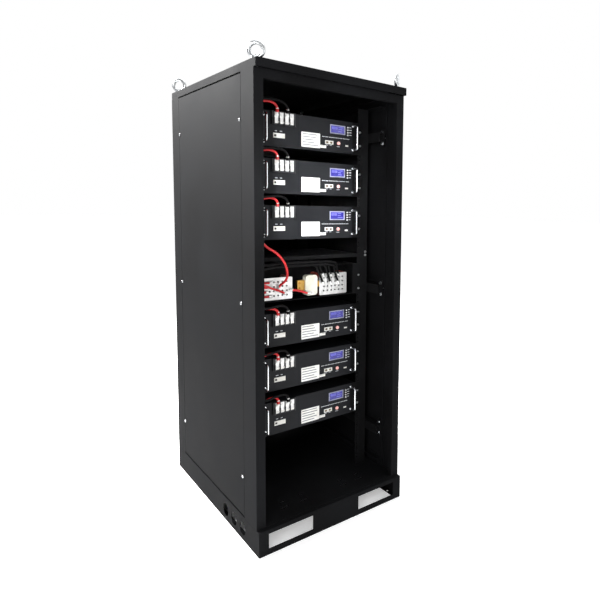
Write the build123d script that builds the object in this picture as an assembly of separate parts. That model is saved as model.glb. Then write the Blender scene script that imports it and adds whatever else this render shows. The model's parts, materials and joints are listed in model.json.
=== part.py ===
from build123d import *
import os
from math import pi, tan, radians

# A free-standing battery cabinet: a welded frame on a fork-lift plinth, clad in sheet steel and open at the front.
# Inside, six battery modules and a distribution tray are screwed to 19-inch rack rails and joined by power leads.
# Millimetres. X runs to the right, Y to the back, Z up. The origin is the middle of the footprint, on the floor.

# ---- cabinet ----
WIDTH = 630
DEPTH = 900
HEIGHT = 1740
SHEET = 2
PLINTH_H = 94
PLINTH_SHEET = 3
PLINTH_FLANGE = 25
ROOF_RIM = 30
FRONT_SETBACK = 19            # the posts stand back from the front edge of roof and plinth
POST_FRONT_W = 34
POST_FRONT_SIDE = 106         # side flange of a front post
POST_REAR_SIDE = 95
PANEL_GAP = 2
PANEL_LANDING = 24            # the stepped lip behind a side panel
BODY_TOP = HEIGHT - ROOF_RIM  # underside of the roof rim
PANEL_TOP = BODY_TOP - 6
PANEL_BOTTOM = PLINTH_H + 8

FORK_W = 176
FORK_H = 56
FORK_X = 190
FORK_Z = 50
ANCHOR_X = 300
ANCHOR_Y = 380
ANCHOR_R = 5.5
CABLE_HOLE_R = 25
CABLE_HOLE_Z = 42
CABLE_HOLE_Y = (-303, -220, -137)

EYE_X = WIDTH / 2 - 20
EYE_Y = DEPTH / 2 - 42
EYE_RING_R = 24.5             # to the middle of the ring's bar
EYE_BAR_R = 7
EYE_CENTRE = 31               # ring centre above its seat
EYE_COLLAR_R = 17.5
EYE_COLLAR_H = 7
EYE_NECK_R = (15, 7.8)        # the neck narrows from the collar to the ring
EYE_SHANK_R = 8
EYE_NUT = (13, 7.5)           # corner radius and height
EYE_TURNS = ((-1, -1, -43), (-1, 1, -43), (1, -1, 43), (1, 1, -43))   # side, end, turn about Z in degrees

PANEL_SCREW_Z = (252, 900, 1548)
SCREW_HEAD_R = 6
SCREW_HEAD_H = 3.2

# ---- 19-inch rack ----
UNIT = 44.45
RAIL_FACE_Y = -234            # front surface of the front rails
REAR_RAIL_Y = 300             # front surface of the rear rails
RAIL_INNER_X = 225
RAIL_OUTER_X = 277
RAIL_SIDE = 36
RAIL_SHEET = 2.5
RACK_HOLE_X = 465.1 / 2
RACK_HOLE_R = 3.5
RACK_HOLES = (6.35, 22.225, 38.1)    # the three holes of one rack unit, from its bottom
RACK_PANEL_W = 482.6
RACK_TOP = 1608               # top of the highest module
UPPER_UNITS = 12              # units punched from RACK_TOP down
LOWER_TOP = RACK_TOP - 13.5 * UNIT   # the lower zone starts with the distribution tray
LOWER_UNITS = 20
BAR_Z = (268, 898, 1550)      # depth bars that carry the rails
BAR_H = 40

# ---- battery modules ----
MODULE_H = 132.5
CASE_W = 442
CASE_D = 470
CASE_H = 129
FACE_T = 2.5
FACE_Y = RAIL_FACE_Y - FACE_T        # front surface of a module face
MODULE_TOPS = [RACK_TOP - u * UNIT for u in (0, 4, 8, 17.5, 21.5, 25.5)]
MODULE_BOTTOMS = [top - MODULE_H for top in MODULE_TOPS]
MODULE_SCREW_Z = (37.25, 94.4)
HANDLE_X = 198
HANDLE_R = 4
HANDLE_REACH = 34
HANDLE_Z = (17, 117)          # ends of a handle above the module's bottom

TERMINAL_X = [-148.5 + 21 * i for i in range(4)]
TERMINAL_Z = 119
TERMINAL_BLOCK = (96, 10, 50)        # width, depth, height
BAR_W = 15
DISPLAY = (88, 76, 160, 113)         # left, bottom, right, top of the display window
KEY_X = 172
KEY_Z = (76.5, 87, 97.5, 108)
KEY_R = 3
KEY_TRAVEL = 0.8
POWER_X = 127
POWER_Z = 38.5
POWER_R = 7
POWER_BEZEL_R = 9.5
POWER_TRAVEL = 2.5
BUTTON_CLEARANCE = 0.3
PORT_PAIR = (65, 31, 103, 46)
PORT_LEFT = (-157, 34, -110, 52)
SLOT = (161, 29, 175, 35)
CELLS = 16

# ---- distribution bay ----
TRAY_TOP = LOWER_TOP
TRAY_H = 132.5
TRAY_BOTTOM = TRAY_TOP - TRAY_H
TRAY_DEPTH = 90
TRAY_SCREW_Z = (21.375, 81.7)
SHELF_LIP_Z = (1036, 1051)
SHELF_DEPTH = 300
BUS_T = 6
BUS_Y = RAIL_FACE_Y + 8       # front surface of the busbar plates
POS_BUS = (-212, TRAY_BOTTOM + 6, -74, TRAY_BOTTOM + 94)
NEG_BUS = (47, TRAY_BOTTOM + 6, 178, TRAY_BOTTOM + 96)
BUS_HOLE_PITCH = 18
BUS_HOLE_R = 4
LEAD_R = 4.5
LUG_R = 8
LUG_T = 2.5
LUG_BARREL_R = 5.8
LUG_BARREL_L = 16

os.makedirs("parts", exist_ok=True)


def save(node, solids):
    """Write one named part; a list of solids becomes one group."""
    solids = solids if isinstance(solids, list) else [solids]
    flat = [solid for shape in solids for solid in shape.solids()]
    export_step(flat[0] if len(flat) == 1 else Compound(children=flat), f"parts/{node}.step")


def block(x0, x1, y0, y1, z0, z1):
    """A rectangular block between two corners."""
    return Pos((x0 + x1) / 2, (y0 + y1) / 2, (z0 + z1) / 2) * Box(x1 - x0, y1 - y0, z1 - z0)


def rod_y(x, y0, y1, z, r):
    """A round bar along Y."""
    return Pos(x, (y0 + y1) / 2, z) * Rot(90, 0, 0) * Cylinder(r, y1 - y0)


def rod_x(x0, x1, y, z, r):
    """A round bar along X."""
    return Pos((x0 + x1) / 2, y, z) * Rot(0, 90, 0) * Cylinder(r, x1 - x0)


def rod_z(x, y, z0, z1, r):
    """A round bar along Z."""
    return Pos(x, y, (z0 + z1) / 2) * Cylinder(r, z1 - z0)


def both_sides(solid):
    """The solid and its mirror image on the other side of the cabinet."""
    return [solid, mirror(solid, about=Plane.YZ)]


# ---------------------------------------------------------------- cabinet

def plinth():
    """Welded base: four walls with folded flanges, fork pockets front and back, cable holes on the left."""
    wall = PLINTH_SHEET
    half_w, half_d = WIDTH / 2, DEPTH / 2
    ring = block(-half_w, half_w, -half_d, half_d, 0, PLINTH_H - wall)
    ring -= block(-half_w + wall, half_w - wall, -half_d + wall, half_d - wall, wall, PLINTH_H)
    inner_w, inner_d = half_w - PLINTH_FLANGE, half_d - PLINTH_FLANGE
    ring -= block(-inner_w, inner_w, -inner_d, inner_d, -1, wall + 1)
    pockets = [
        Pos(side * FORK_X, end * half_d, FORK_Z) * Box(FORK_W, 4 * wall, FORK_H)
        for side in (-1, 1) for end in (-1, 1)
    ]
    holes = [rod_x(-half_w - 5, -half_w + 10, y, CABLE_HOLE_Z, CABLE_HOLE_R) for y in CABLE_HOLE_Y]
    anchors = [
        rod_z(side * ANCHOR_X, end * ANCHOR_Y, -1, wall + 1, ANCHOR_R) for side in (-1, 1) for end in (-1, 1)
    ]
    return ring - pockets - holes - anchors


def floor_plate():
    """Cabinet floor on top of the plinth, with rows of cable-tie slots."""
    plate = block(-WIDTH / 2, WIDTH / 2, -DEPTH / 2, DEPTH / 2, PLINTH_H - PLINTH_SHEET, PLINTH_H)
    slots = []
    for x in (-170, -90, 90, 170):
        slots.append(Pos(x, -351, PLINTH_H) * Box(28, 5, 10))
        slots.append(Pos(x + 8, -309, PLINTH_H) * Box(16, 5, 10))
    return plate - slots


def roof_cover():
    """Folded roof pan with a rim all round and seats for the eye bolts."""
    half_w, half_d = WIDTH / 2, DEPTH / 2
    pan = block(-half_w, half_w, -half_d, half_d, BODY_TOP, HEIGHT)
    edges = pan.edges().filter_by(Axis.Z) + pan.faces().sort_by(Axis.Z)[-1].edges()
    pan = fillet(edges, 3)
    pan -= block(-half_w + SHEET, half_w - SHEET, -half_d + SHEET, half_d - SHEET, BODY_TOP - 1, HEIGHT - SHEET)
    bolts = [rod_z(side * EYE_X, end * EYE_Y, BODY_TOP, HEIGHT + 1, EYE_SHANK_R + 0.3) for side, end, turn in EYE_TURNS]
    return pan - bolts


def lifting_eye(side, end, turn):
    """Cast eye bolt: ring, collar and shank through the roof, with its nut below."""
    x, y = side * EYE_X, end * EYE_Y
    collar = rod_z(x, y, HEIGHT, HEIGHT + EYE_COLLAR_H, EYE_COLLAR_R)
    neck = Pos(x, y, HEIGHT + 1.5 * EYE_COLLAR_H - 1) * Cone(*EYE_NECK_R, EYE_COLLAR_H)
    shank = rod_z(x, y, HEIGHT - 22, HEIGHT + 1, EYE_SHANK_R)
    nut = Pos(x, y, HEIGHT - SHEET - 8) * extrude(RegularPolygon(EYE_NUT[0], 6, rotation=turn), EYE_NUT[1])
    ring = Pos(x, y, HEIGHT + EYE_CENTRE) * Rot(0, 0, turn) * Rot(90, 0, 0) * Torus(EYE_RING_R, EYE_BAR_R)
    return collar + neck + shank + nut + ring


def post(side, end):
    """Corner post folded from sheet: a front flange, a side flange and a stepped lip for the side panel."""
    outer = side * WIDTH / 2
    t = SHEET
    if end < 0:
        face_y = -DEPTH / 2 + FRONT_SETBACK
        side_len = POST_FRONT_SIDE
    else:
        face_y = DEPTH / 2
        side_len = POST_REAR_SIDE
    step = -end               # +1 when the side flange runs to the back
    points = [
        (outer - side * POST_FRONT_W, face_y + step * 22),
        (outer - side * POST_FRONT_W, face_y),
        (outer, face_y),
        (outer, face_y + step * side_len),
        (outer - side * 2 * t, face_y + step * side_len),
        (outer - side * 2 * t, face_y + step * (side_len + PANEL_LANDING)),
    ]
    inner = [
        (outer - side * 3 * t, face_y + step * (side_len + PANEL_LANDING)),
        (outer - side * 3 * t, face_y + step * (side_len - t)),
        (outer - side * t, face_y + step * (side_len - t)),
        (outer - side * t, face_y + step * t),
        (outer - side * (POST_FRONT_W - t), face_y + step * t),
        (outer - side * (POST_FRONT_W - t), face_y + step * 22),
    ]
    section = make_face(Polyline(*points, *inner, close=True))
    solid = Pos(0, 0, PLINTH_H) * extrude(section, BODY_TOP - PLINTH_H, dir=(0, 0, 1))
    screw_y = screw_row_y(end)
    holes = [rod_x(outer - 12, outer + 12, screw_y, z, 3.2) for z in PANEL_SCREW_Z]
    return solid - holes


def screw_row_y(end):
    """Y of the column of screws along the front or rear edge of a side panel."""
    edge = -DEPTH / 2 + FRONT_SETBACK + POST_FRONT_SIDE if end < 0 else DEPTH / 2 - POST_REAR_SIDE
    return edge - end * 11


def cabinet_frame():
    """Four corner posts joined by top and bottom members."""
    posts = [post(side, end) for side in (-1, 1) for end in (-1, 1)]
    clear = WIDTH / 2 - POST_FRONT_W
    members = []
    for y0, y1 in ((-DEPTH / 2 + FRONT_SETBACK, -DEPTH / 2 + FRONT_SETBACK + 22), (DEPTH / 2 - 22, DEPTH / 2)):
        header = block(-clear, clear, y0, y1, BODY_TOP - 32, BODY_TOP)
        header -= block(-clear - 1, clear + 1, y0 + SHEET, y1 - SHEET, BODY_TOP - 30, BODY_TOP + 1)
        members.append(header)
        sill = block(-clear, clear, y0, y1, PLINTH_H, PLINTH_H + 4)
        members.append(sill)
    y0 = -DEPTH / 2 + FRONT_SETBACK + POST_FRONT_SIDE + PANEL_LANDING
    y1 = DEPTH / 2 - POST_REAR_SIDE - PANEL_LANDING
    for z0, z1 in ((PLINTH_H, PLINTH_H + 30), (BODY_TOP - 30, BODY_TOP)):
        rail = block(-WIDTH / 2 + 4, -WIDTH / 2 + 24, y0, y1, z0, z1)
        rail -= block(-WIDTH / 2 + 6, -WIDTH / 2 + 25, y0 - 1, y1 + 1, z0 + SHEET, z1 - SHEET)
        members += both_sides(rail)
    return posts + members


def side_panel():
    """Left side sheet, set flush between the posts and held by six screws."""
    y0 = -DEPTH / 2 + FRONT_SETBACK + POST_FRONT_SIDE + PANEL_GAP
    y1 = DEPTH / 2 - POST_REAR_SIDE - PANEL_GAP
    sheet = block(-WIDTH / 2, -WIDTH / 2 + 2 * SHEET, y0, y1, PANEL_BOTTOM, PANEL_TOP)
    sheet -= block(-WIDTH / 2 + SHEET, -WIDTH / 2 + 9, y0 + 30, y1 - 30, PANEL_BOTTOM + 34, PANEL_TOP - 34)
    holes = [rod_x(-WIDTH / 2 - 5, -WIDTH / 2 + 9, screw_row_y(end), z, 3.2) for end in (-1, 1) for z in PANEL_SCREW_Z]
    return sheet - holes


def rear_panel():
    """Rear sheet between the rear posts, with louvre slots for cooling air."""
    clear = WIDTH / 2 - POST_FRONT_W
    y1 = DEPTH / 2
    sheet = block(-clear, clear, y1 - SHEET, y1, PLINTH_H + 4, BODY_TOP - 32)
    slots = [
        Pos(x, y1, z) * Box(90, 12, 6)
        for x in (-120, 0, 120) for zone in (260, 1440) for z in range(zone, zone + 141, 20)
    ]
    holes = [rod_y(side * (clear - 12), y1 - 8, y1 + 8, z, 3.2) for side in (-1, 1) for z in PANEL_SCREW_Z]
    return sheet - slots - holes


def pan_screw(x, y, z, along):
    """A zinc pan-head screw; its head stands proud along the given direction, its shank goes the other way."""
    head = Cylinder(SCREW_HEAD_R, SCREW_HEAD_H, align=(Align.CENTER, Align.CENTER, Align.MIN))
    head = fillet(head.edges().sort_by(Axis.Z)[-1], 1.5)
    recess = Pos(0, 0, SCREW_HEAD_H - 1.4) * Box(5.2, 1.3, 3) + Pos(0, 0, SCREW_HEAD_H - 1.4) * Box(1.3, 5.2, 3)
    shank = Pos(0, 0, -8) * Cylinder(3, 8, align=(Align.CENTER, Align.CENTER, Align.MIN))
    return Plane(origin=(x, y, z), z_dir=along) * (head - recess + shank)


def panel_screws():
    """Six screws on each side panel and six on the rear panel."""
    screws = []
    for side in (-1, 1):
        for z in PANEL_SCREW_Z:
            for end in (-1, 1):
                screws.append(pan_screw(side * WIDTH / 2, screw_row_y(end), z, (side, 0, 0)))
            screws.append(pan_screw(side * (WIDTH / 2 - POST_FRONT_W - 12), DEPTH / 2, z, (0, 1, 0)))
    return screws


def lifting_eyes():
    return [lifting_eye(side, end, turn) for side, end, turn in EYE_TURNS]


# ---------------------------------------------------------------- rack

def rack_hole_heights():
    """Heights of the punched holes: a zone from the top module down, and one from the tray down."""
    upper = [RACK_TOP - (u + 1) * UNIT + h for u in range(UPPER_UNITS) for h in RACK_HOLES]
    lower = [LOWER_TOP - (u + 1) * UNIT + h for u in range(LOWER_UNITS) for h in RACK_HOLES]
    return upper + lower


def rack_rail(face_y, holes):
    """Right-hand rail folded from sheet: punched front flange and a side web."""
    z0, z1 = PLINTH_H, BODY_TOP - 40
    flange = block(RAIL_INNER_X, RAIL_OUTER_X, face_y, face_y + RAIL_SHEET, z0, z1)
    web = block(RAIL_OUTER_X - RAIL_SHEET, RAIL_OUTER_X, face_y, face_y + RAIL_SIDE, z0, z1)
    drills = [rod_y(RACK_HOLE_X, face_y - 5, face_y + 8, z, RACK_HOLE_R) for z in holes]
    return flange + web - drills


def rack_rails():
    """Front and rear pairs; the rear pair is punched only where the support angles end."""
    front = rack_rail(RAIL_FACE_Y, rack_hole_heights())
    rear = rack_rail(REAR_RAIL_Y, [z - 12 for z in MODULE_BOTTOMS])
    return both_sides(front) + both_sides(rear)


def depth_bars():
    """Three bars a side, from front post to rear post, with end plates; the rack rails bolt to them."""
    y0 = -DEPTH / 2 + FRONT_SETBACK + POST_FRONT_SIDE + PANEL_LANDING - 18
    y1 = DEPTH / 2 - POST_REAR_SIDE - PANEL_LANDING + 18
    outer = WIDTH / 2 - 6
    bars = []
    for z in BAR_Z:
        bar = block(RAIL_OUTER_X, RAIL_OUTER_X + 3, y0, y1, z - BAR_H / 2, z + BAR_H / 2)
        bar += block(RAIL_OUTER_X, outer - 4, y0, y1, z + BAR_H / 2 - 3, z + BAR_H / 2)
        for y in (y0, y1 - 26):
            bar += block(outer - 7, outer - 3, y, y + 26, z - 36, z + 36)
            bar += block(RAIL_OUTER_X, outer - 4, y + 11, y + 14, z - BAR_H / 2, z + BAR_H / 2)
        bars += both_sides(bar)
    return bars


def support_angles():
    """A folded ledge on each side under every module, held between the webs of the rails."""
    ledges = []
    web = RAIL_OUTER_X - RAIL_SHEET
    for bottom in MODULE_BOTTOMS:
        top = bottom + 1.5
        ledge = block(197, web, RAIL_FACE_Y + RAIL_SHEET, REAR_RAIL_Y, top - SHEET, top)
        ledge += block(web - SHEET, web, RAIL_FACE_Y + RAIL_SHEET, REAR_RAIL_Y, top - SHEET, top + 26)
        ledges += both_sides(ledge)
    return ledges


def shelf_plate():
    """Flat shelf above the distribution tray, with a front lip and ears on the rails."""
    z0, z1 = SHELF_LIP_Z
    half = RACK_PANEL_W / 2
    shelf = block(-half, half, RAIL_FACE_Y - SHEET, RAIL_FACE_Y, z0, z1)
    shelf += block(-RAIL_INNER_X + 2, RAIL_INNER_X - 2, RAIL_FACE_Y, RAIL_FACE_Y + SHELF_DEPTH, z1 - SHEET, z1)
    slots = [Pos(x, RAIL_FACE_Y + y, z1) * Box(40, 6, 12) for x in (-150, -50, 50, 150) for y in (60, 120, 180, 240)]
    return shelf - slots


# ---------------------------------------------------------------- distribution bay

def distribution_tray():
    """Open-fronted steel tray on the rails that carries the busbars and the main fuse."""
    half = RACK_PANEL_W / 2
    inside = RAIL_INNER_X - 3
    y0, y1 = RAIL_FACE_Y, RAIL_FACE_Y + TRAY_DEPTH
    tray = block(-inside, inside, y0, y1, TRAY_BOTTOM, TRAY_TOP)
    tray -= block(-inside + SHEET, inside - SHEET, y0 - 1, y1 - SHEET, TRAY_BOTTOM + SHEET, TRAY_TOP - SHEET)
    for side in (-1, 1):
        ear = block(min(side * half, side * 202), max(side * half, side * 202), y0 - SHEET, y0, TRAY_BOTTOM, TRAY_TOP)
        ear -= [rod_y(side * RACK_HOLE_X, y0 - 5, y0 + 5, TRAY_BOTTOM + z, RACK_HOLE_R) for z in TRAY_SCREW_Z]
        tray += ear
    entry = block(-half - 1, -190, y0 - 5, y1 - 12, TRAY_BOTTOM + 30, TRAY_TOP - 8)
    return tray - entry


def busbar(x0, z0, x1, z1):
    """Tinned copper plate with a grid of bolt holes and an edge lug hole row."""
    plate = block(x0, x1, BUS_Y, BUS_Y + BUS_T, z0, z1)
    plate = fillet(plate.edges().filter_by(Axis.Y), 5)
    columns = int((x1 - x0 - 16) // BUS_HOLE_PITCH)
    rows = int((z1 - z0 - 16) // BUS_HOLE_PITCH)
    left = (x0 + x1) / 2 - (columns - 1) * BUS_HOLE_PITCH / 2
    low = (z0 + z1) / 2 - (rows - 1) * BUS_HOLE_PITCH / 2
    holes = [
        rod_y(left + i * BUS_HOLE_PITCH, BUS_Y - 3, BUS_Y + BUS_T + 3, low + j * BUS_HOLE_PITCH, BUS_HOLE_R)
        for i in range(columns) for j in range(rows)
    ]
    return plate - holes


def busbar_insulators():
    """Four ribbed standoffs behind each busbar plate."""
    posts = []
    y0, y1 = BUS_Y + BUS_T, RAIL_FACE_Y + TRAY_DEPTH - SHEET
    for x0, z0, x1, z1 in (POS_BUS, NEG_BUS):
        for x in (x0 + 9, x1 - 9):
            for z in (z0 + 9, z1 - 9):
                post_solid = rod_y(x, y0, y1, z, 8)
                ribs = [rod_y(x, y0 + 12 + 16 * i, y0 + 18 + 16 * i, z, 11) for i in range(4)]
                posts.append(post_solid + ribs)
    return posts


def main_fuse():
    """Square-bodied ceramic fuse with rounded shoulders, standing between the two busbars."""
    z0, z1 = TRAY_BOTTOM + 13, TRAY_BOTTOM + 96
    body = block(-22, 30, BUS_Y - 14, BUS_Y + 14, z0, z1)
    return fillet(body.edges().filter_by(Axis.Y), 12)


def fuse_terminals():
    """Brass clamp on the left of the fuse and its strap to the negative plate on the right."""
    z0 = TRAY_BOTTOM + 34
    clamp = block(-54, -22, BUS_Y - 4, BUS_Y + 14, z0, z0 + 42)
    clamp -= [rod_y(-45, BUS_Y - 5, BUS_Y + 2, z, 4) for z in (z0 + 11, z0 + 31)]
    strap = block(30, 47, BUS_Y, BUS_Y + 5, z0 + 10, z0 + 34)
    return [clamp, strap]


# ---------------------------------------------------------------- power leads

def lead(points):
    """A round lead along straight runs joined by the largest arcs that the runs allow."""
    radii = []
    for before, here, after in zip(points, points[1:], points[2:]):
        run_in, run_out = Vector(*here) - Vector(*before), Vector(*after) - Vector(*here)
        turn = run_in.get_angle(run_out)
        radii.append(0.45 * min(run_in.length, run_out.length) / tan(radians(turn / 2)))
    path = FilletPolyline(*points, radius=radii)
    section = Plane(origin=path @ 0, z_dir=path % 0) * Circle(LEAD_R)
    tube = sweep(section, path=path)
    print(f"lead {path.length:7.1f} mm, volume ratio {tube.volume / (pi * LEAD_R ** 2 * path.length):.4f}, "
          f"smallest radius {min(radii):5.1f} mm, radii {[round(r) for r in radii]}")
    return tube


def lug(x, y, z, turn):
    """Ring lug flat against a face at y; its barrel points up, turned about Y by the given degrees."""
    ring = rod_y(0, -LUG_T, 0, 0, LUG_R) + block(-5, 5, -LUG_T, 0, 0, LUG_R + 4)
    barrel = rod_z(0, -LUG_BARREL_R, LUG_R + 1, LUG_R + LUG_BARREL_L, LUG_BARREL_R)
    socket = rod_z(0, -LUG_BARREL_R, LUG_R + 5, LUG_R + LUG_BARREL_L + 1, LEAD_R)
    hole = rod_y(0, -9, 1, 0, 4.2)
    return Pos(x, y, z) * Rot(0, turn, 0) * (ring + barrel - socket - hole)


# Lugs on the two plates: x, z and the turn of the barrel, which points left at -90 and up at 0.
POS_LUGS = {1: (-98, 898.4, -60), 2: (-152, 952.4, -90), 3: (-134, 916.4, 0),
            4: (-170, 916.4, -90), 5: (-152, 898.4, -90), 6: (-152, 934.4, -90)}
NEG_LUGS = {1: (139.5, 953.4, -25), 2: (103.5, 953.4, -25), 3: (67.5, 953.4, -25),
            4: (67.5, 917.4, -25), 5: (103.5, 917.4, -25), 6: (139.5, 917.4, -25)}
LUG_AXIS_Y = BUS_Y - LUG_BARREL_R

# First stretch of a lead, from the terminal over the top of the module face; z above the module's bottom.
POS_EXIT = [(-148.5, -253.8, 132.2), (-149.5, -255, 146), (-162, -259, 158), (-185, -265, 162), (-212, -271, 158)]
POS_EXIT_4 = [(-148.5, -253.8, 132.2), (-150, -255.5, 145), (-164, -261, 155), (-187, -269, 160), (-212, -278, 164)]
NEG_EXIT = [(-106.5, -253.8, 132.2), (-107.5, -256, 148), (-120, -262, 161), (-145, -271, 168), (-178, -281, 168),
            (-212, -290, 164)]

# The rest of each positive lead, down or up behind the left post and in to its lug.
POS_RUNS = {
    1: [(-246, -275, 1624), (-266, -277, 1582), (-272, -278, 1482), (-273, -280, 1355), (-272.5, -281, 1230),
        (-271, -280, 1115), (-268, -280, 1048), (-264, -279, 1000), (-249, -277, 969), (-214, -274, 951),
        (-178, -264, 935), (-146, -250, 923), (-124, -237, 913.4), (-109.4, LUG_AXIS_Y, 905)],
    2: [(-242, -274, 1446), (-257, -277, 1408), (-261, -279, 1310), (-261.5, -281, 1198), (-260, -280, 1095),
        (-254, -276, 1029), (-246, -270, 991), (-231, -258, 965), (-209, -245, 954), (-187, -235.5, 952.8),
        (-165.2, LUG_AXIS_Y, 952.4)],
    3: [(-235, -275, 1266), (-248, -279, 1235), (-249, -283, 1178), (-238, -287, 1126), (-206, -290, 1094),
        (-166, -289, 1072), (-136, -286, 1035), (-122, -281, 1001), (-118, -271, 972), (-123, -255, 953),
        (-131, -240, 943), (-134, LUG_AXIS_Y, 929.6)],
    4: [(-235, -282, 875), (-243, -280, 897), (-233, -266, 913), (-214, -249, 917.5), (-200, -236.5, 916.8),
        (-183.2, LUG_AXIS_Y, 916.4)],
    5: [(-238, -275, 694), (-255, -278, 724), (-260, -280, 790), (-258, -278, 845), (-248, -270, 880),
        (-227, -255, 896), (-203, -241, 898.8), (-186, -234.5, 898.6), (-165.2, LUG_AXIS_Y, 898.4)],
    6: [(-244, -275, 519), (-266, -277, 558), (-271, -279, 650), (-272, -280, 750), (-270, -279, 846),
        (-266, -276, 898), (-251, -267, 927), (-225, -251, 934.5), (-195, -236.5, 934.8), (-165.2, LUG_AXIS_Y, 934.4)],
}

# The stretch of each negative lead beside the rack, before it turns in over the tray.
NEG_RUNS = {
    1: [(-242, -304, 1634), (-257, -312, 1596), (-260, -314, 1495), (-261, -315, 1370), (-260.5, -314.5, 1245),
        (-259, -313, 1130), (-255, -312, 1068)],
    2: [(-242, -298, 1455), (-257, -302, 1417), (-260, -303, 1330), (-260.5, -304, 1225), (-259, -303, 1125),
        (-255, -301, 1066)],
    3: [(-242, -292, 1277), (-257, -292, 1240), (-260, -292, 1180), (-259, -292.5, 1112), (-255, -291, 1064)],
    4: [(-241, -295, 878), (-254, -291, 909), (-258, -290.5, 951), (-255, -291, 986)],
    5: [(-242, -298, 705), (-257, -302, 742), (-260, -303, 830), (-259, -303, 920), (-255, -301, 984)],
    6: [(-242, -304, 527), (-257, -312, 567), (-260, -314, 670), (-261, -315, 780), (-260, -314, 890),
        (-255, -312, 982)],
}


def positive_route(n):
    """Points of the positive lead of module n, from its terminal to the plate."""
    exit_points = POS_EXIT_4 if n == 4 else POS_EXIT
    return [(x, y, MODULE_BOTTOMS[n - 1] + z) for x, y, z in exit_points] + POS_RUNS[n]


def negative_route(n):
    """Points of the negative lead of module n: up beside the rack, over the tray, and down to the plate."""
    start = [(x, y, MODULE_BOTTOMS[n - 1] + z) for x, y, z in NEG_EXIT]
    rank = (2, 1, 0, 0, 1, 2)[n - 1]
    y = -240 - 11 * rank
    z = 1028 if n < 4 else 1017
    bend = 4 if n < 4 else -4
    over = [(-234, y - 45, z + bend), (-198, y - 27, z - bend / 4), (-164, y - 6, z), (-110, y, z + 0.5), (-30, y + 0.5, z)]
    x_lug, z_lug, turn = NEG_LUGS[n]
    x_end, z_end = x_lug - 5.6, z_lug + 12
    x_top = x_lug - 0.466 * (z - z_lug)
    down = [(x_top - 34, y, z - 0.8), (x_top + 4, y + 1, z - 9), (x_top + 11, max(y + 3, -244), z - 28)]
    if n > 3:
        down.append((x_lug - 18, LUG_AXIS_Y - 4, z_lug + 40))
    return start + NEG_RUNS[n] + over + down + [(x_end, LUG_AXIS_Y, z_end)]


JUMPER = [(-84.8, LUG_AXIS_Y, 916.4), (-64, -236, 915.4), (-42, -243.5, 909), (-24, -246.5, 901.5), (-9.2, -245.8, 899)]
JUMPER_LUGS = ((-98, BUS_Y, 916.4, 90), (4, BUS_Y - 14, 899, -90))


def positive_leads():
    return [lead(positive_route(n)) for n in POS_RUNS] + [lead(JUMPER)]


def negative_leads():
    return [lead(negative_route(n)) for n in NEG_RUNS]


def lead_lugs():
    """Ring lugs at both ends of every lead."""
    face = FACE_Y - TERMINAL_BLOCK[1] - 1.5
    lugs = []
    for bottom in MODULE_BOTTOMS:
        lugs += [lug(TERMINAL_X[i], face, bottom + TERMINAL_Z, 0) for i in (0, 2)]
    lugs += [lug(x, BUS_Y, z, turn) for x, z, turn in list(POS_LUGS.values()) + list(NEG_LUGS.values())]
    return lugs + [lug(*place) for place in JUMPER_LUGS]


# ---------------------------------------------------------------- battery modules

def module_case(bottom):
    """Folded steel case of one module, open towards its face."""
    z0 = bottom + 1.75
    case = block(-CASE_W / 2, CASE_W / 2, RAIL_FACE_Y, RAIL_FACE_Y + CASE_D, z0, z0 + CASE_H)
    return case - block(-CASE_W / 2 + 1.5, CASE_W / 2 - 1.5, RAIL_FACE_Y - 1, RAIL_FACE_Y + CASE_D - 1.5,
                        z0 + 1.5, z0 + CASE_H - 1.5)


def window(rect, bottom, grow=0):
    """A through-cut in a module face over a rectangle given from the module's middle and bottom."""
    x0, z0, x1, z1 = rect
    return block(x0 - grow, x1 + grow, FACE_Y - 5, FACE_Y + 5, bottom + z0 - grow, bottom + z1 + grow)


def key_places(bottom):
    return [(KEY_X, bottom + z) for z in KEY_Z]


def module_faceplate(bottom):
    """Front plate of one module, with ears, cut-outs, and holes for its button and keys."""
    half = RACK_PANEL_W / 2
    plate = block(-half, half, FACE_Y, RAIL_FACE_Y, bottom, bottom + MODULE_H)
    plate = fillet(plate.edges().filter_by(Axis.Y), 2)
    cuts = [window(rect, bottom) for rect in (DISPLAY, PORT_PAIR, PORT_LEFT, SLOT)]
    cuts += [rod_y(side * RACK_HOLE_X, FACE_Y - 5, FACE_Y + 5, bottom + z, RACK_HOLE_R)
             for side in (-1, 1) for z in MODULE_SCREW_Z]
    cuts += [rod_y(x, FACE_Y - 5, FACE_Y + 5, z, KEY_R + BUTTON_CLEARANCE) for x, z in key_places(bottom)]
    cuts.append(rod_y(POWER_X, FACE_Y - 5, FACE_Y + 5, bottom + POWER_Z, POWER_R + BUTTON_CLEARANCE))
    plate -= cuts
    bezel = rod_y(POWER_X, FACE_Y - 1.5, FACE_Y, bottom + POWER_Z, POWER_BEZEL_R)
    bezel -= rod_y(POWER_X, FACE_Y - 5, FACE_Y + 5, bottom + POWER_Z, POWER_R + BUTTON_CLEARANCE)
    return plate + bezel


def module_handle(side, bottom):
    """Bent round-bar handle with square corners eased, standing on the face."""
    x, z0, z1 = side * HANDLE_X, bottom + HANDLE_Z[0], bottom + HANDLE_Z[1]
    y_bar = FACE_Y - HANDLE_REACH
    path = FilletPolyline((x, FACE_Y, z0), (x, y_bar, z0), (x, y_bar, z1), (x, FACE_Y, z1), radius=9)
    bar = sweep(Plane(origin=path @ 0, z_dir=path % 0) * Circle(HANDLE_R), path=path)
    feet = [rod_y(x, FACE_Y - 3, FACE_Y, z, 7) for z in (z0, z1)]
    return bar + feet


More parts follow.
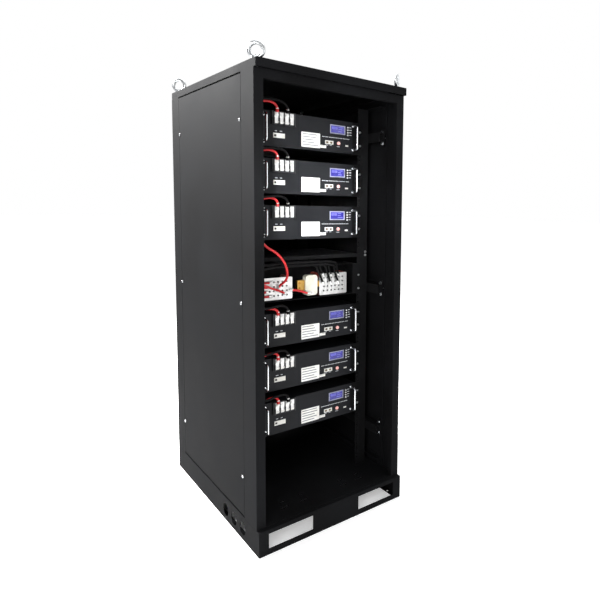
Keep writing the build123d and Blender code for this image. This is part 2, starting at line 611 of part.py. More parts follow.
def terminal_block(bottom):
    """Moulded housing behind the four terminal bars, with a barrier on each side of every bar."""
    width, depth, height = TERMINAL_BLOCK
    centre = (TERMINAL_X[0] + TERMINAL_X[-1]) / 2
    z0 = bottom + MODULE_H - height
    housing = block(centre - width / 2, centre + width / 2, FACE_Y - depth, FACE_Y, z0, bottom + MODULE_H)
    ribs = [
        block(x - 1.5, x + 1.5, FACE_Y - depth - 7, FACE_Y - depth, z0, z0 + 26)
        for x in [TERMINAL_X[0] + 21 * (i - 0.5) for i in range(5)]
    ]
    return housing + ribs


def terminal_bars(bottom):
    """Four tinned bars, each with its hexagon bolt."""
    bars = []
    y = FACE_Y - TERMINAL_BLOCK[1]
    for i, x in enumerate(TERMINAL_X):
        bar = block(x - BAR_W / 2, x + BAR_W / 2, y - 1.5, y, bottom + 87, bottom + 129)
        head_y = y - 1.5 - (LUG_T if i in (0, 2) else 0)
        head = Plane(origin=(x, head_y, bottom + TERMINAL_Z), z_dir=(0, -1, 0)) * extrude(RegularPolygon(5.6, 6), 4.5)
        stud = rod_y(x, head_y, y, bottom + TERMINAL_Z, 3.5)
        bars += [bar + stud + head]
    return bars


def display_unit(bottom):
    """Display module in its window: frame, glass and body."""
    x0, z0, x1, z1 = DISPLAY
    body = block(x0 + 0.3, x1 - 0.3, FACE_Y - 1, FACE_Y + 12, bottom + z0 + 0.3, bottom + z1 - 0.3)
    return body - block(x0 + 4, x1 - 4, FACE_Y - 2, FACE_Y + 0.5, bottom + z0 + 4, bottom + z1 - 4)


def port_blocks(bottom):
    """Socket blocks: two round signal sockets side by side, the link port on the left, and the address slot."""
    blocks = []
    for rect, sockets in ((PORT_PAIR, 2), (PORT_LEFT, 3)):
        x0, z0, x1, z1 = rect
        body = block(x0 + 0.3, x1 - 0.3, FACE_Y - 2, FACE_Y + 14, bottom + z0 + 0.3, bottom + z1 - 0.3)
        step = (x1 - x0) / sockets
        for i in range(sockets):
            x, z = x0 + step * (i + 0.5), bottom + (z0 + z1) / 2
            body -= block(x - step * 0.3, x + step * 0.3, FACE_Y - 3, FACE_Y + 9, z - 4.5, z + 4)
        blocks.append(body)
    x0, z0, x1, z1 = SLOT
    slot = block(x0 + 0.3, x1 - 0.3, FACE_Y - 0.8, FACE_Y + 8, bottom + z0 + 0.3, bottom + z1 - 0.3)
    blocks.append(slot - block(x0 + 3, x1 - 3, FACE_Y - 2, FACE_Y + 4, bottom + z0 + 2, bottom + z1 - 2))
    return blocks


def cell_pack(bottom):
    """Sixteen prismatic cells in two rows inside a case."""
    cells = []
    z0 = bottom + 4
    for i in range(CELLS):
        row, column = divmod(i, CELLS // 2)
        x0 = -200 + column * 50.5
        y0 = RAIL_FACE_Y + 120 + row * 172
        cells.append(block(x0, x0 + 48, y0, y0 + 168, z0, z0 + 112))
    return cells


def control_board(bottom):
    """Battery management board on its standoffs, with a finned heat sink."""
    board = block(-190, 190, RAIL_FACE_Y + 50, RAIL_FACE_Y + 52, bottom + 12, bottom + 118)
    sink = block(-120, 40, RAIL_FACE_Y + 52, RAIL_FACE_Y + 58, bottom + 30, bottom + 100)
    fins = [block(x, x + 3, RAIL_FACE_Y + 58, RAIL_FACE_Y + 78, bottom + 30, bottom + 100) for x in range(-120, 40, 12)]
    return board + sink + fins


def power_button(bottom):
    """Round push button: a domed cap on a shank through the face."""
    cap = rod_y(POWER_X, FACE_Y - 5, FACE_Y + 8, bottom + POWER_Z, POWER_R)
    return fillet(cap.edges().sort_by(Axis.Y)[0], 1.2)


def menu_key(x, z):
    """Small round key beside the display, with a stop collar behind the face."""
    cap = rod_y(x, FACE_Y - 2.5, FACE_Y + 5, z, KEY_R)
    cap = fillet(cap.edges().sort_by(Axis.Y)[0], 0.6)
    return cap + rod_y(x, FACE_Y + FACE_T + 0.4, FACE_Y + 5, z, KEY_R + 1.2)


def rack_screws():
    """Screws that hold modules, tray, shelf and rails."""
    places = []
    for side in (-1, 1):
        for bottom in MODULE_BOTTOMS:
            places += [(side * RACK_HOLE_X, FACE_Y, bottom + z) for z in MODULE_SCREW_Z]
        places += [(side * RACK_HOLE_X, RAIL_FACE_Y - SHEET, TRAY_BOTTOM + z) for z in TRAY_SCREW_Z]
        places += [(side * 267, RAIL_FACE_Y, z) for z in (SHELF_LIP_Z[0] + 6, SHELF_LIP_Z[1] + 6)]
    screws = []
    for x, y, z in places:
        head = fillet(rod_y(x, y - 3, y, z, 5).edges().sort_by(Axis.Y)[0], 1.2)
        cross = block(x - 2.2, x + 2.2, y - 4, y - 1.6, z - 0.6, z + 0.6) + block(
            x - 0.6, x + 0.6, y - 4, y - 1.6, z - 2.2, z + 2.2)
        shank = rod_y(x, y, y + 10, z, 2.9) if abs(x) < RAIL_INNER_X + 20 else rod_y(x, y, RAIL_FACE_Y, z, 2.9)
        screws.append(head - cross + shank if abs(x) < RAIL_INNER_X + 20 else head - cross)
    return screws


save("plinth", plinth())
save("floor_plate", floor_plate())
save("cabinet_frame", cabinet_frame())
save("roof_cover", roof_cover())
save("side_panels", both_sides(side_panel()))
save("rear_panel", rear_panel())
save("lifting_eyes", lifting_eyes())
save("panel_screws", panel_screws())
save("rack_rails", rack_rails())
save("depth_bars", depth_bars())
save("support_angles", support_angles())
save("shelf_plate", shelf_plate())
save("distribution_tray", distribution_tray())
save("busbars", [busbar(*POS_BUS), busbar(*NEG_BUS)])
save("busbar_insulators", busbar_insulators())
save("main_fuse", main_fuse())
save("fuse_terminals", fuse_terminals())
save("positive_leads", positive_leads())
save("negative_leads", negative_leads())
save("lead_lugs", lead_lugs())
save("rack_screws", rack_screws())
save("module_cases", [module_case(bottom) for bottom in MODULE_BOTTOMS])
save("module_faceplates", [module_faceplate(bottom) for bottom in MODULE_BOTTOMS])
save("module_handles", [module_handle(side, bottom) for bottom in MODULE_BOTTOMS for side in (-1, 1)])
save("terminal_blocks", [terminal_block(bottom) for bottom in MODULE_BOTTOMS])
save("terminal_bars", [bar for bottom in MODULE_BOTTOMS for bar in terminal_bars(bottom)])
save("display_units", [display_unit(bottom) for bottom in MODULE_BOTTOMS])
save("port_blocks", [port for bottom in MODULE_BOTTOMS for port in port_blocks(bottom)])
save("cell_packs", [cell for bottom in MODULE_BOTTOMS for cell in cell_pack(bottom)])
save("control_boards", [control_board(bottom) for bottom in MODULE_BOTTOMS])
for n, bottom in enumerate(MODULE_BOTTOMS, start=1):
    save(f"power_button_{n}", power_button(bottom))
    for k, (x, z) in enumerate(key_places(bottom), start=1):
        save(f"menu_key_{n}_{k}", menu_key(x, z))
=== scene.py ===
import json
import math
import bmesh
import bpy
from mathutils import Euler, Matrix, Vector


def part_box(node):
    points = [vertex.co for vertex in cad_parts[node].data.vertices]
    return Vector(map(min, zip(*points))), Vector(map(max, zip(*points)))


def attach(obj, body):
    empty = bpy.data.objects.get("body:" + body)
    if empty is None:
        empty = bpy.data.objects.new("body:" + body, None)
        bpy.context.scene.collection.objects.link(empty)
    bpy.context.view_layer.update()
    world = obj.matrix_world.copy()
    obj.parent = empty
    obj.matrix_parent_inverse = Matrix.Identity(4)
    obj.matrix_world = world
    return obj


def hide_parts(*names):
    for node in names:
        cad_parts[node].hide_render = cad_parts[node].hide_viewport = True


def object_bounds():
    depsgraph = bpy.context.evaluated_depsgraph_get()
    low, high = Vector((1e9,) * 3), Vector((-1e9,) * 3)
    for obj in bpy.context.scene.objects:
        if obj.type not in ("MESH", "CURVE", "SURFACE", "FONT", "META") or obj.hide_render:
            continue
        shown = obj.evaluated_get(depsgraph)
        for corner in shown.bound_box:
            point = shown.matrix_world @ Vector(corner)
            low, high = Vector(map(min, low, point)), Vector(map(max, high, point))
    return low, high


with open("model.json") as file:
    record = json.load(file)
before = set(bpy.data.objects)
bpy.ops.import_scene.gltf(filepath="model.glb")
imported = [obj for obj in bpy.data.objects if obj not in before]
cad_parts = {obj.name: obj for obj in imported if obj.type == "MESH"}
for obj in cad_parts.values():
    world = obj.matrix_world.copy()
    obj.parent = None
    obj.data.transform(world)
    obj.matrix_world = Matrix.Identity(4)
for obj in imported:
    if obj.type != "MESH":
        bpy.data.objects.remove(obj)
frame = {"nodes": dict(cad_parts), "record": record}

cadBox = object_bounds()

# An open-front rack cabinet with six battery modules. Metres, Z up, the open front faces -Y.

mm = 0.001
modules = range(1, 7)
moduleFace = {"inFrontOfCase": 2.5, "powerKeyHeight": 38.5}      # mm
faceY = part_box("module_cases")[0][1] - moduleFace["inFrontOfCase"] * mm


def moduleBottom(n):
    low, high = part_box(f"power_button_{n}")
    return (low[2] + high[2]) / 2 - moduleFace["powerKeyHeight"] * mm


# Colours and nodes

# A colour code to the linear colour that the shader wants.
def srgb(code):
    channels = [int(code[i:i + 2], 16) / 255 for i in (1, 3, 5)]
    return [c / 12.92 if c <= 0.04045 else ((c + 0.055) / 1.055) ** 2.4 for c in channels] + [1]


# One node with its settings, and its sockets linked or set.
def addNode(tree, kind, links=None, **settings):
    node = tree.nodes.new(kind)
    for name, value in settings.items():
        setattr(node, name, value)
    for socket, value in (links or {}).items():
        if isinstance(value, bpy.types.NodeSocket):
            tree.links.new(value, node.inputs[socket])
        else:
            node.inputs[socket].default_value = value
    return node


# A new material with its shader constants set; returns material, tree, shader and object coordinates.
def startMaterial(name, settings):
    material = bpy.data.materials.new(name)
    material.use_nodes = True
    tree = material.node_tree
    tree.nodes.clear()
    shader = addNode(tree, "ShaderNodeBsdfPrincipled")
    addNode(tree, "ShaderNodeOutputMaterial", {"Surface": shader.outputs[0]})
    for socket, value in settings.items():
        shader.inputs[socket].default_value = value
    return material, tree, shader, addNode(tree, "ShaderNodeTexCoord").outputs["Object"]


# Materials

powder = {"grain": 2.2, "cloud": 240, "bump": 0.16, "bumpHeight": 0.3}       # mm, mm, strength, mm


# Polyester powder on sheet steel: matt and black, finely pebbled, with faint cloudy dust.
def powderCoat(name, base, dusty, roughness, specular):
    material, tree, shader, place = startMaterial(name, {"Specular IOR Level": specular})
    cloud = addNode(tree, "ShaderNodeTexNoise", {
        "Vector": place, "Scale": 1 / (powder["cloud"] * mm), "Detail": 5}).outputs["Fac"]
    grain = addNode(tree, "ShaderNodeTexNoise", {
        "Vector": place, "Scale": 1 / (powder["grain"] * mm), "Detail": 3}).outputs["Fac"]
    speck = addNode(tree, "ShaderNodeTexVoronoi", {
        "Vector": place, "Scale": 1 / (powder["grain"] * 2 * mm)}).outputs["Distance"]
    dust = addNode(tree, "ShaderNodeMapRange", {
        "Value": cloud, "From Min": 0.38, "From Max": 0.72, "To Max": 0.55}).outputs[0]
    pebble = addNode(tree, "ShaderNodeMapRange", {
        "Value": speck, "From Max": 0.6, "To Min": 0.12, "To Max": 0}).outputs[0]
    amount = addNode(tree, "ShaderNodeMath", {0: dust, 1: pebble}, operation="ADD").outputs[0]
    colour = addNode(tree, "ShaderNodeMix", {
        "Factor": amount, "A": srgb(base), "B": srgb(dusty)}, data_type="RGBA")
    sheen = addNode(tree, "ShaderNodeMapRange", {
        "Value": cloud, "From Min": 0.3, "From Max": 0.7,
        "To Min": roughness - 0.05, "To Max": roughness + 0.06})
    bump = addNode(tree, "ShaderNodeBump", {
        "Height": grain, "Strength": powder["bump"], "Distance": powder["bumpHeight"] * mm})
    tree.links.new(colour.outputs["Result"], shader.inputs["Base Color"])
    tree.links.new(sheen.outputs[0], shader.inputs["Roughness"])
    tree.links.new(bump.outputs[0], shader.inputs["Normal"])
    return material


# Electroplated metal: mirror-like under a thin haze, cloudier in patches.
def plated(name, bright, dull, roughness, grain, bump=0.08):
    material, tree, shader, place = startMaterial(name, {"Metallic": 1})
    haze = addNode(tree, "ShaderNodeTexNoise", {
        "Vector": place, "Scale": 1 / (grain * 9 * mm), "Detail": 4}).outputs["Fac"]
    fine = addNode(tree, "ShaderNodeTexNoise", {
        "Vector": place, "Scale": 1 / (grain * mm), "Detail": 3}).outputs["Fac"]
    share = addNode(tree, "ShaderNodeMapRange", {
        "Value": haze, "From Min": 0.35, "From Max": 0.7}).outputs[0]
    colour = addNode(tree, "ShaderNodeMix", {
        "Factor": share, "A": srgb(bright), "B": srgb(dull)}, data_type="RGBA")
    sheen = addNode(tree, "ShaderNodeMapRange", {
        "Value": haze, "From Min": 0.3, "From Max": 0.7, "To Min": roughness, "To Max": roughness + 0.12})
    rough = addNode(tree, "ShaderNodeBump", {"Height": fine, "Strength": bump, "Distance": 0.2 * mm})
    tree.links.new(colour.outputs["Result"], shader.inputs["Base Color"])
    tree.links.new(sheen.outputs[0], shader.inputs["Roughness"])
    tree.links.new(rough.outputs[0], shader.inputs["Normal"])
    return material


# Drawn or brushed metal: fine lines along one direction, set by the three scales of the pattern.
def brushed(name, bright, dull, roughness, stretch):
    material, tree, shader, place = startMaterial(name, {"Metallic": 1})
    lined = addNode(tree, "ShaderNodeMapping", {"Vector": place, "Scale": stretch}).outputs[0]
    lines = addNode(tree, "ShaderNodeTexNoise", {
        "Vector": lined, "Scale": 1 / (1.2 * mm), "Detail": 3}).outputs["Fac"]
    colour = addNode(tree, "ShaderNodeMix", {
        "Factor": lines, "A": srgb(dull), "B": srgb(bright)}, data_type="RGBA")
    sheen = addNode(tree, "ShaderNodeMapRange", {
        "Value": lines, "From Min": 0.3, "From Max": 0.7, "To Min": roughness + 0.08, "To Max": roughness})
    bump = addNode(tree, "ShaderNodeBump", {"Height": lines, "Strength": 0.1, "Distance": 0.1 * mm})
    tree.links.new(colour.outputs["Result"], shader.inputs["Base Color"])
    tree.links.new(sheen.outputs[0], shader.inputs["Roughness"])
    tree.links.new(bump.outputs[0], shader.inputs["Normal"])
    return material


# Moulded plastic, rubber or printing ink: even colour with a faint flow pattern and a soft texture.
def moulded(name, base, worn, roughness, grain=1.5, specular=0.5):
    material, tree, shader, place = startMaterial(name, {"Specular IOR Level": specular})
    flow = addNode(tree, "ShaderNodeTexNoise", {
        "Vector": place, "Scale": 1 / (28 * mm), "Detail": 4}).outputs["Fac"]
    texture = addNode(tree, "ShaderNodeTexNoise", {
        "Vector": place, "Scale": 1 / (grain * mm), "Detail": 2}).outputs["Fac"]
    share = addNode(tree, "ShaderNodeMapRange", {
        "Value": flow, "From Min": 0.35, "From Max": 0.7}).outputs[0]
    colour = addNode(tree, "ShaderNodeMix", {
        "Factor": share, "A": srgb(base), "B": srgb(worn)}, data_type="RGBA")
    sheen = addNode(tree, "ShaderNodeMapRange", {
        "Value": flow, "From Min": 0.3, "From Max": 0.7, "To Min": roughness, "To Max": roughness + 0.08})
    bump = addNode(tree, "ShaderNodeBump", {"Height": texture, "Strength": 0.08, "Distance": 0.2 * mm})
    tree.links.new(colour.outputs["Result"], shader.inputs["Base Color"])
    tree.links.new(sheen.outputs[0], shader.inputs["Roughness"])
    tree.links.new(bump.outputs[0], shader.inputs["Normal"])
    return material


lacquer = {"panelHalf": 196.5, "seamAt": -52, "seamWidth": 1.2, "cloud": 90, "grain": 1.6,     # mm
           "charcoal": "#17181b", "dusty": "#1f2023", "dark": "#0c0c0d"}


# Baked lacquer on the module faces: charcoal, darker on the ears beyond the handles, with a fine seam.
def bakedLacquer():
    material, tree, shader, place = startMaterial("charcoal baked lacquer", {"Specular IOR Level": 0.16})
    across = addNode(tree, "ShaderNodeSeparateXYZ", {"Vector": place}).outputs["X"]
    out = addNode(tree, "ShaderNodeMath", {0: across}, operation="ABSOLUTE").outputs[0]
    ear = addNode(tree, "ShaderNodeMath", {
        0: out, 1: lacquer["panelHalf"] * mm}, operation="GREATER_THAN").outputs[0]
    seam = addNode(tree, "ShaderNodeMath", {
        0: across, 1: lacquer["seamAt"] * mm, 2: lacquer["seamWidth"] / 2 * mm},
        operation="COMPARE").outputs[0]
    dark = addNode(tree, "ShaderNodeMath", {0: ear, 1: seam}, operation="MAXIMUM").outputs[0]
    cloud = addNode(tree, "ShaderNodeTexNoise", {
        "Vector": place, "Scale": 1 / (lacquer["cloud"] * mm), "Detail": 5}).outputs["Fac"]
    grain = addNode(tree, "ShaderNodeTexNoise", {
        "Vector": place, "Scale": 1 / (lacquer["grain"] * mm), "Detail": 3}).outputs["Fac"]
    share = addNode(tree, "ShaderNodeMapRange", {
        "Value": cloud, "From Min": 0.35, "From Max": 0.7}).outputs[0]
    paint = addNode(tree, "ShaderNodeMix", {
        "Factor": share, "A": srgb(lacquer["charcoal"]), "B": srgb(lacquer["dusty"])}, data_type="RGBA")
    colour = addNode(tree, "ShaderNodeMix", {
        "Factor": dark, "A": paint.outputs["Result"], "B": srgb(lacquer["dark"])}, data_type="RGBA")
    sheen = addNode(tree, "ShaderNodeMapRange", {
        "Value": cloud, "From Min": 0.3, "From Max": 0.7, "To Min": 0.42, "To Max": 0.52})
    height = addNode(tree, "ShaderNodeMath", {0: grain, 1: seam}, operation="SUBTRACT").outputs[0]
    bump = addNode(tree, "ShaderNodeBump", {"Height": height, "Strength": 0.12, "Distance": 0.3 * mm})
    tree.links.new(colour.outputs["Result"], shader.inputs["Base Color"])
    tree.links.new(sheen.outputs[0], shader.inputs["Roughness"])
    tree.links.new(bump.outputs[0], shader.inputs["Normal"])
    return material


# Lit display behind clear acrylic: saturated, slightly uneven blue in fine squares, with a glossy front.
def backlitDisplay():
    material, tree, shader, place = startMaterial("backlit display", {
        "Roughness": 0.16, "Emission Strength": 0.1, "Coat Weight": 0.6, "Coat Roughness": 0.08})
    squares = addNode(tree, "ShaderNodeTexChecker", {
        "Vector": place, "Scale": 1 / (1.4 * mm)}).outputs["Fac"]
    cloud = addNode(tree, "ShaderNodeTexNoise", {"Vector": place, "Scale": 1 / (40 * mm)}).outputs["Fac"]
    blue = addNode(tree, "ShaderNodeMix", {
        "Factor": cloud, "A": srgb("#241f86"), "B": srgb("#3430ac")}, data_type="RGBA").outputs["Result"]
    cells = addNode(tree, "ShaderNodeMix", {
        "Factor": squares, "A": srgb("#1f1b70"), "B": blue}, data_type="RGBA").outputs["Result"]
    tree.links.new(cells, shader.inputs["Base Color"])
    tree.links.new(blue, shader.inputs["Emission Color"])
    return material


# Lit push button cap: pale polycarbonate with a soft red glow in patches.
def backlitCap():
    material, tree, shader, place = startMaterial("backlit polycarbonate cap", {
        "Roughness": 0.25, "Emission Strength": 0.35, "Coat Weight": 0.4})
    grain = addNode(tree, "ShaderNodeTexNoise", {"Vector": place, "Scale": 1 / (3 * mm)}).outputs["Fac"]
    glow = addNode(tree, "ShaderNodeMix", {
        "Factor": grain, "A": srgb("#e8d8d4"), "B": srgb("#d0463c")}, data_type="RGBA").outputs["Result"]
    tree.links.new(glow, shader.inputs["Base Color"])
    tree.links.new(glow, shader.inputs["Emission Color"])
    return material


# Finishes of the CAD pieces by material slot, and of the pieces that are made here.
coats = {
    "black_powder_coat": powderCoat("matt black powder coat", "#0f0f10", "#1a1b1d", 0.78, 0.05),
    "rail_powder_coat": powderCoat("satin black powder coat", "#101011", "#1a1b1c", 0.58, 0.1),
    "module_steel": powderCoat("dark grey powder coat", "#101113", "#1b1c1f", 0.5, 0.2),
    "zinc_plate": plated("bright zinc plate", "#d4d7da", "#b3b5b4", 0.22, 2.5),
    "tinned_copper": plated("tinned copper", "#f6f6f5", "#dcdcda", 0.42, 3),
    "chrome": plated("bright chrome plate", "#f0f2f4", "#d8dbde", 0.1, 4, bump=0.03),
    "brass": brushed("machined brass", "#d8b267", "#a97f38", 0.28, (0.2, 1, 3)),
    "button_steel": backlitCap(),
    "insulator_moulding": moulded("red-brown moulding compound", "#6b2a20", "#7d3528", 0.4),
    "fuse_ceramic": moulded("glazed fuse ceramic", "#e2e1d4", "#cfcfbf", 0.3),
    "red_silicone": moulded("red silicone sheath", "#cf2328", "#b4161b", 0.4, grain=2.5),
    "black_silicone": moulded("black silicone sheath", "#070708",
    "#0d0d0e", 0.6, grain=2.5, specular=0.15), "black_nylon": moulded("black nylon", "#17181a",
    "#202124", 0.42), "white_nylon": moulded("white nylon", "#ecebe6", "#dcdad2", 0.4),
    "key_white": moulded("pale key cap", "#e6e7e8", "#d2d4d6", 0.35),
    "display_frame": moulded("silver display frame", "#9a9db8", "#8587a0", 0.35),
    "cell_sleeve": moulded("blue shrink sleeve", "#1d3f86", "#24509c", 0.3),
    "circuit_board": moulded("green solder mask", "#0f4a2c", "#176038", 0.3),
    "face_lacquer": bakedLacquer(),
}
extras = {
    "screen": backlitDisplay(),
    "paper": moulded("matt vinyl label", "#f2f2ef", "#e4e3dd", 0.55, grain=0.9, specular=0.35),
    "greyInk": moulded("grey printing ink", "#8b8d90", "#77797c", 0.6),
    "paleInk": moulded("pale screen-printing ink", "#c9ccd0", "#b4b7bb", 0.5),
    "displayInk": moulded("light display segments", "#6f70d8", "#5c5cc4", 0.3),
    "darkSocket": moulded("dark socket liner", "#0b0b0c", "#131314", 0.5),
}

slotOf = {part["node"]: part["material_slot"] for part in frame["record"]["subparts"]}
for node, piece in frame["nodes"].items():
    coat = coats[slotOf[node]]
    if piece.material_slots:
        for materialSlot in piece.material_slots:
            materialSlot.material = coat
    else:
        piece.data.materials.append(coat)
print("materials assigned")


# Placing pieces

# Finishes a new piece: linked, coloured, riding on the cabinet, with its finish slot.
def settle(piece, material):
    if piece.name not in bpy.context.scene.collection.all_objects:
        bpy.context.scene.collection.objects.link(piece)
    piece.data.materials.clear()
    piece.data.materials.append(material)
    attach(piece, "cabinet")


def meshPiece(name, shape):
    mesh = bpy.data.meshes.new(name)
    shape.to_mesh(mesh)
    shape.free()
    return bpy.data.objects.new(name, mesh)


# The evaluated mesh of a piece as a plain new object.
def frozen(piece, name):
    graph = bpy.context.evaluated_depsgraph_get()
    mesh = bpy.data.meshes.new_from_object(piece.evaluated_get(graph))
    mesh.name = name
    bpy.data.objects.remove(piece)
    return bpy.data.objects.new(name, mesh)


# Folded sheet metal with its edges eased, so that folds and cut edges catch the light

easedEdges = {"roof_cover": 0.5, "plinth": 0.9, "floor_plate": 0.8, "cabinet_frame": 0.7,
              "side_panels": 0.7, "module_faceplates": 0.45, "busbars": 0.5}      # mm
easing = {"weld": 0.005, "flatWithin": 0.4, "sharperThan": 50, "segments": 2}      # mm, degrees, degrees


def easedCopy(node, width):
    shape = bmesh.new()
    shape.from_mesh(frame["nodes"][node].data)
    bmesh.ops.remove_doubles(shape, verts=shape.verts, dist=easing["weld"] * mm)
    bmesh.ops.dissolve_limit(shape, angle_limit=math.radians(easing["flatWithin"]), verts=shape.verts,
                             edges=shape.edges)
    piece = meshPiece(node + ".eased", shape)
    bpy.context.scene.collection.objects.link(piece)
    bevel = piece.modifiers.new("ease", "BEVEL")
    bevel.width = width * mm
    bevel.segments = easing["segments"]
    bevel.limit_method = "ANGLE"
    bevel.angle_limit = math.radians(easing["sharperThan"])
    bevel.use_clamp_overlap = True
    finished = frozen(piece, node + ".eased")
    for polygon in finished.data.polygons:
        polygon.use_smooth = False
    settle(finished, coats[slotOf[node]])
    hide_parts(node)


for node, width in easedEdges.items():
    easedCopy(node, width)
print("sheet metal edges eased")


# Small repeated marks and parts, laid out by Geometry Nodes

# Rows and columns of one small solid at every vertex of the base mesh, left-aligned, with uneven widths.
def markTree(name, isRound):
    tree = bpy.data.node_groups.new(name, "GeometryNodeTree")
    tree.interface.new_socket("Anchors", in_out="INPUT", socket_type="NodeSocketGeometry")
    for title, start in (("Columns", 1), ("Rows", 1), ("Seed", 3)):
        tree.interface.new_socket(title, in_out="INPUT", socket_type="NodeSocketInt").default_value = start
    for title, start in (("Column Pitch", 0.01), ("Row Pitch", 0.01), ("Width", 0.004), ("Height", 0.002),
                         ("Depth", 0.0006), ("Narrowest", 1.0)):
        tree.interface.new_socket(title, in_out="INPUT", socket_type="NodeSocketFloat").default_value = start
    tree.interface.new_socket("Finish", in_out="INPUT", socket_type="NodeSocketMaterial")
    tree.interface.new_socket("Geometry", in_out="OUTPUT", socket_type="NodeSocketGeometry")
    given = addNode(tree, "NodeGroupInput").outputs
    right = addNode(tree, "ShaderNodeCombineXYZ", {"X": given["Column Pitch"]}).outputs[0]
    drop = addNode(tree, "ShaderNodeMath", {0: given["Row Pitch"], 1: -1}, operation="MULTIPLY").outputs[0]
    down = addNode(tree, "ShaderNodeCombineXYZ", {"Z": drop}).outputs[0]
    row = addNode(tree, "GeometryNodeMeshLine", {"Count": given["Columns"], "Offset": right}).outputs[0]
    column = addNode(tree, "GeometryNodeMeshLine", {"Count": given["Rows"], "Offset": down}).outputs[0]
    grid = addNode(tree, "GeometryNodeInstanceOnPoints", {"Points": column, "Instance": row}).outputs[0]
    flat = addNode(tree, "GeometryNodeRealizeInstances", {0: grid}).outputs[0]
    fields = addNode(tree, "GeometryNodeInstanceOnPoints", {
        "Points": given["Anchors"], "Instance": flat}).outputs[0]
    places = addNode(tree, "GeometryNodeRealizeInstances", {0: fields}).outputs[0]
    if isRound:
        solid = addNode(tree, "GeometryNodeMeshCylinder", {
            "Vertices": 20, "Radius": 0.5, "Depth": 1.0}).outputs[0]
        turned = addNode(tree, "GeometryNodeTransform", {
            "Geometry": solid, "Rotation": (math.pi / 2, 0, 0)})
    else:
        solid = addNode(tree, "GeometryNodeMeshCube", {"Size": (1, 1, 1)}).outputs[0]
        turned = addNode(tree, "GeometryNodeTransform", {"Geometry": solid, "Translation": (0.5, 0, 0)})
    share = addNode(tree, "FunctionNodeRandomValue", {2: given["Narrowest"], 3: 1.0, "Seed": given["Seed"]},
                    data_type="FLOAT").outputs[1]
    wide = addNode(tree, "ShaderNodeMath", {0: given["Width"], 1: share}, operation="MULTIPLY").outputs[0]
    size = addNode(tree, "ShaderNodeCombineXYZ", {
        "X": wide, "Y": given["Depth"], "Z": given["Height"]}).outputs[0]
    solids = addNode(tree, "GeometryNodeInstanceOnPoints", {
        "Points": places, "Instance": turned.outputs[0], "Scale": size}).outputs[0]
    real = addNode(tree, "GeometryNodeRealizeInstances", {0: solids}).outputs[0]
    done = addNode(tree, "GeometryNodeSetMaterial", {
        "Geometry": real, "Material": given["Finish"]}).outputs[0]
    addNode(tree, "NodeGroupOutput", {0: done})
    return tree


markTrees = {"square": markTree("square marks", False), "round": markTree("round marks", True)}


# A piece made by the mark tree on the front of each module. A layout is in mm: "x" from the face's middle,
# "z" from the module's bottom, "proud" of the face, and the rest are the tree's own inputs.
def marks(name, finish, layout, form="square", which=modules):
    mesh = bpy.data.meshes.new(name + ".anchors")
    mesh.from_pydata([(layout["x"] * mm, faceY - layout["proud"] * mm, moduleBottom(n) + layout["z"] * mm)
                      for n in which], [], [])
    piece = bpy.data.objects.new(name + ".anchors", mesh)
    bpy.context.scene.collection.objects.link(piece)
    modifier = piece.modifiers.new("marks", "NODES")
    modifier.node_group = markTrees[form]
    identifiers = {item.name: item.identifier for item in markTrees[form].interface.items_tree
                   if item.in_out == "INPUT"}
    for title, value in layout.items():
        if title in ("Columns", "Rows", "Seed", "Narrowest"):
            modifier[identifiers[title]] = value
        elif title in identifiers:
            modifier[identifiers[title]] = value * mm
    modifier[identifiers["Finish"]] = finish
    settle(frozen(piece, name), finish)


# Labels: a rating card and a serial tab on each face, with grey bars for their text

label = {"left": -40, "bottom": 11, "right": 42, "top": 69, "thick": 0.3, "sink": 0, "corner": 2}       # mm
tab = {"left": 43, "bottom": 14, "right": 70, "top": 25, "thick": 0.3, "sink": 0, "corner": 1}         # mm
written = (1, 4, 5, 6)       # modules whose rating card has text
cornerSteps = 5
labelLines = {"x": -36, "z": 62, "proud": 0.3, "Rows": 5, "Row Pitch": 10.5, "Width": 72, "Height": 3.6,
              "Depth": 0.3, "Narrowest": 0.7, "Seed": 7}
tabLines = {"x": 46, "z": 21.5, "proud": 0.3, "Columns": 9, "Column Pitch": 2.4, "Width": 1.3, "Height": 6,
            "Depth": 0.1, "Narrowest": 0.4, "Seed": 11}


# One thin upright card with rounded corners on the front of each module.
def cards(name, finish, card):
    shape = bmesh.new()
    corner = card["corner"] * mm
    x0, x1 = card["left"] * mm + corner, card["right"] * mm - corner
    yFront = faceY - (card["thick"] - card["sink"]) * mm
    for n in modules:
        z0 = moduleBottom(n) + card["bottom"] * mm + corner
        z1 = moduleBottom(n) + card["top"] * mm - corner
        outline = []
        for cx, cz, start in ((x1, z1, 0), (x0, z1, 90), (x0, z0, 180), (x1, z0, 270)):
            for i in range(cornerSteps + 1):
                turn = math.radians(start + 90 * i / cornerSteps)
                outline.append((cx + corner * math.cos(turn), cz + corner * math.sin(turn)))
        front = [shape.verts.new((x, yFront, z)) for x, z in outline]
        back = [shape.verts.new((x, yFront + card["thick"] * mm, z)) for x, z in outline]
        shape.faces.new(front)
        shape.faces.new(reversed(back))
        for i in range(len(outline)):
            j = (i + 1) % len(outline)
            shape.faces.new((front[j], front[i], back[i], back[j]))
    bmesh.ops.recalc_face_normals(shape, faces=shape.faces)
    settle(meshPiece(name, shape), finish)


cards("rating_labels", extras["paper"], label)
cards("serial_tabs", extras["paper"], tab)
marks("label_lines", extras["greyInk"], labelLines, which=written)
marks("tab_lines", extras["greyInk"], tabLines)

# Screen printing: dashes for the small legends, and the row of status lamps

